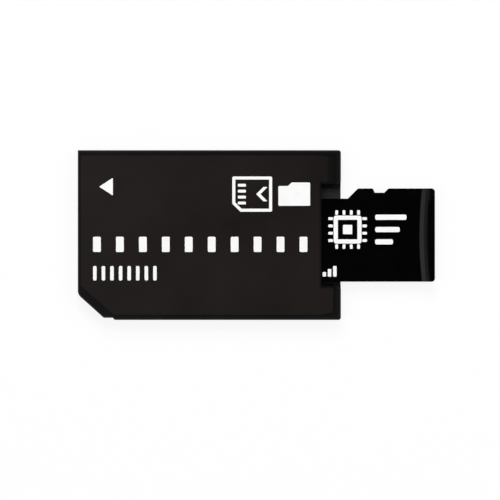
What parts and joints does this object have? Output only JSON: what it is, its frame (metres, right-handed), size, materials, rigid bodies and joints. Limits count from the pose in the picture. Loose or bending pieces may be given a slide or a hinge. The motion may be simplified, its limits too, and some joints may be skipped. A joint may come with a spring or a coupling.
{
  "type": "memory card adapter",
  "caption": "Flat two-shell memory card adapter with a clipped corner and grooved contacts at one end, and a thumbnail-size card that slides into the slot at the other end.",
  "frame": {"origin": "middle of the adapter's flat underside, without the card", "axes": "+X from the adapter's contact end to the slot's mouth, +Z from the underside to the label; the clipped corner is at -X, -Y; the card slides along X"},
  "size_m": [0.0421, 0.02, 0.0016],
  "materials": {
    "shell_plastic": "fine spark-eroded moulding texture",
    "label_film": "satin printed film",
    "board_laminate": "solder mask over glass laminate",
    "contact_gold": "hard gold plating",
    "carrier_plastic": "moulded natural polymer",
    "spring_bronze": "gold flash on stamped strip",
    "chip_epoxy": "moulded epoxy",
    "capacitor_ceramic": "fired ceramic with tinned ends",
    "resistor_ceramic": "glazed ceramic with tinned ends",
    "card_plastic": "moulded black",
    "card_base": "black solder mask"
  },
  "bodies": {
    "adapter": {"bottom_shell": "shell_plastic", "top_shell": "shell_plastic", "label": "label_film", "circuit_board": "board_laminate", "host_contact_01": "contact_gold", "host_contact_02": "contact_gold", "host_contact_03": "contact_gold", "host_contact_04": "contact_gold", "host_contact_05": "contact_gold", "host_contact_06": "contact_gold", "host_contact_07": "contact_gold", "host_contact_08": "contact_gold", "host_contact_09": "contact_gold", "host_contact_10": "contact_gold", "contact_carrier": "carrier_plastic", "card_spring_1": "spring_bronze", "card_spring_2": "spring_bronze", "card_spring_3": "spring_bronze", "card_spring_4": "spring_bronze", "card_spring_5": "spring_bronze", "card_spring_6": "spring_bronze", "card_spring_7": "spring_bronze", "card_spring_8": "spring_bronze", "controller_chip": "chip_epoxy", "capacitor_1": "capacitor_ceramic", "capacitor_2": "capacitor_ceramic", "resistor_1": "resistor_ceramic", "resistor_2": "resistor_ceramic"},
    "card": {"card_body": "card_plastic", "card_laminate": "card_base", "card_pad_1": "contact_gold", "card_pad_2": "contact_gold", "card_pad_3": "contact_gold", "card_pad_4": "contact_gold", "card_pad_5": "contact_gold", "card_pad_6": "contact_gold", "card_pad_7": "contact_gold", "card_pad_8": "contact_gold"}
  },
  "joints": [
    {"name": "card_slide", "type": "slide", "parent": "adapter", "child": "card", "axis": [1, 0, 0], "range_m": [-0.01108, 0.0034]}
  ]
}
